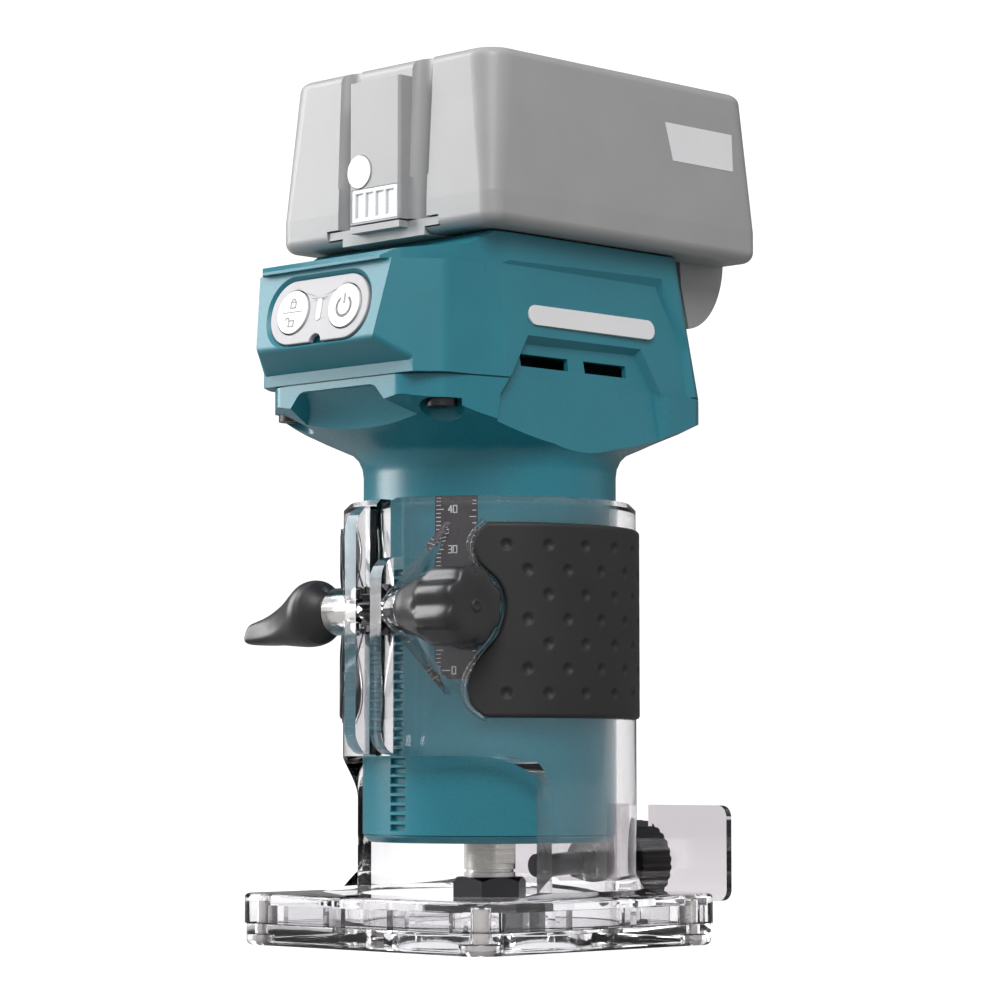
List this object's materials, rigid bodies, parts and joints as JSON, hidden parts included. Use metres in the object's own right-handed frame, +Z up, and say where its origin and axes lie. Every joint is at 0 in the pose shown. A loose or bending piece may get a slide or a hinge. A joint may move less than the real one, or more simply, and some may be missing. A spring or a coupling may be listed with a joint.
{
  "type": "trim router",
  "caption": "Cordless trim router: round motor with slide-on battery, held in a clear plastic base with rack depth adjustment, clamp lever, grip sleeve and clear guard.",
  "frame": {"origin": "centre of the bit opening at the underside of the sole, on the spindle axis", "axes": "+Z up along the spindle towards the battery; -Y is the front with the control panel; +X is the side with the depth knob"},
  "size_m": [0.091, 0.1233, 0.222],
  "materials": {
    "clear_plastic": "clear polycarbonate, polished",
    "clear_sole": "clear polycarbonate, polished",
    "smoke_plastic": "smoke tinted clear plastic",
    "teal_plastic": "fine textured teal moulding",
    "teal_metal": "satin teal paint on an aluminium barrel",
    "black_rubber": "matt dimpled rubber",
    "black_plastic": "satin black plastic",
    "panel_grey": "light grey panel",
    "white_plastic": "white plastic",
    "battery_grey": "pale grey moulding",
    "battery_grey_light": "lighter grey moulding",
    "steel": "machined steel",
    "dark_steel": "black oxide steel",
    "scale_print": "dark scale plate with white marks",
    "copper": "enamelled copper",
    "lamination": "stacked steel sheet",
    "circuit_green": "circuit board",
    "cell_wrap": "shrink sleeve"
  },
  "bodies": {
    "base": {"base_housing": "clear_plastic", "sub_base": "clear_sole", "sub_base_screws": "steel", "rubber_grip": "black_rubber", "clamp_bolt": "steel"},
    "motor_unit": {"motor_housing": "teal_metal", "depth_scale": "scale_print", "motor_cover": "teal_metal", "bearing_bracket": "black_plastic", "lower_bearing": "steel", "upper_bearing": "steel", "stator_core": "lamination", "stator_coils": "copper", "head_housing": "teal_plastic", "side_badges": "white_plastic", "head_screws": "dark_steel", "control_panel": "panel_grey", "led_window": "white_plastic", "switch_board": "circuit_green", "controller_board": "circuit_green", "battery_rail": "battery_grey", "contact_blades": "copper"},
    "spindle": {"spindle_shaft": "steel", "rotor": "lamination", "collet": "steel", "collet_nut": "dark_steel", "cooling_fan": "black_plastic"},
    "depth_knob": {"pinion_shaft": "dark_steel", "depth_knob": "black_plastic"},
    "clamp_lever": {"clamp_lever": "black_plastic"},
    "guide_screw": {"guide_screw_head": "black_plastic", "guide_screw_shank": "dark_steel"},
    "chip_guard": {"chip_guard": "smoke_plastic"},
    "lock_button": {"lock_button": "white_plastic"},
    "power_button": {"power_button": "white_plastic"},
    "battery_pack": {"battery_lower_case": "battery_grey", "battery_upper_case": "battery_grey", "battery_cells": "cell_wrap", "gauge_panel": "battery_grey_light"},
    "gauge_button": {"gauge_button": "battery_grey_light"},
    "battery_latch": {"battery_latch": "battery_grey"}
  },
  "joints": [
    {"name": "depth_slide", "type": "slide", "parent": "base", "child": "motor_unit", "axis": [0, 0, 1], "range_m": [-0.003, 0.037]},
    {"name": "spindle_spin", "type": "hinge", "parent": "motor_unit", "child": "spindle", "pos_m": [0, 0, 0.05], "axis": [0, 0, 1], "continuous": true},
    {"name": "knob_turn", "type": "hinge", "parent": "base", "child": "depth_knob", "pos_m": [0, -0.038, 0.084], "axis": [1, 0, 0], "range_deg": [-32, 379]},
    {"name": "clamp_turn", "type": "hinge", "parent": "base", "child": "clamp_lever", "pos_m": [-0.03, -0.038, 0.084], "axis": [1, 0, 0], "range_deg": [0, 120]},
    {"name": "guide_screw_turn", "type": "hinge", "parent": "base", "child": "guide_screw", "pos_m": [0, 0.05, 0.0195], "axis": [0, 1, 0], "continuous": true},
    {"name": "guard_slide", "type": "slide", "parent": "base", "child": "chip_guard", "axis": [0, 0, 1], "range_m": [0, 0.026]},
    {"name": "lock_press", "type": "slide", "parent": "motor_unit", "child": "lock_button", "axis": [0, 0.9816, -0.1908], "range_m": [0, 0.0008], "stiffness_N_per_m": 900},
    {"name": "power_press", "type": "slide", "parent": "motor_unit", "child": "power_button", "axis": [0, 0.9816, -0.1908], "range_m": [0, 0.0008], "stiffness_N_per_m": 900},
    {"name": "battery_slide", "type": "slide", "parent": "motor_unit", "child": "battery_pack", "axis": [0, 1, 0], "range_m": [0, 0.105]},
    {"name": "latch_press", "type": "slide", "parent": "battery_pack", "child": "battery_latch", "axis": [0, 0, 1], "range_m": [0, 0.003], "stiffness_N_per_m": 600},
    {"name": "gauge_press", "type": "slide", "parent": "battery_pack", "child": "gauge_button", "axis": [0, 1, 0], "range_m": [0, 0.0007], "stiffness_N_per_m": 600}
  ],
  "couplings": [
    {"joint": "knob_turn", "follows": "depth_slide", "rad_per_m": 177.78}
  ]
}
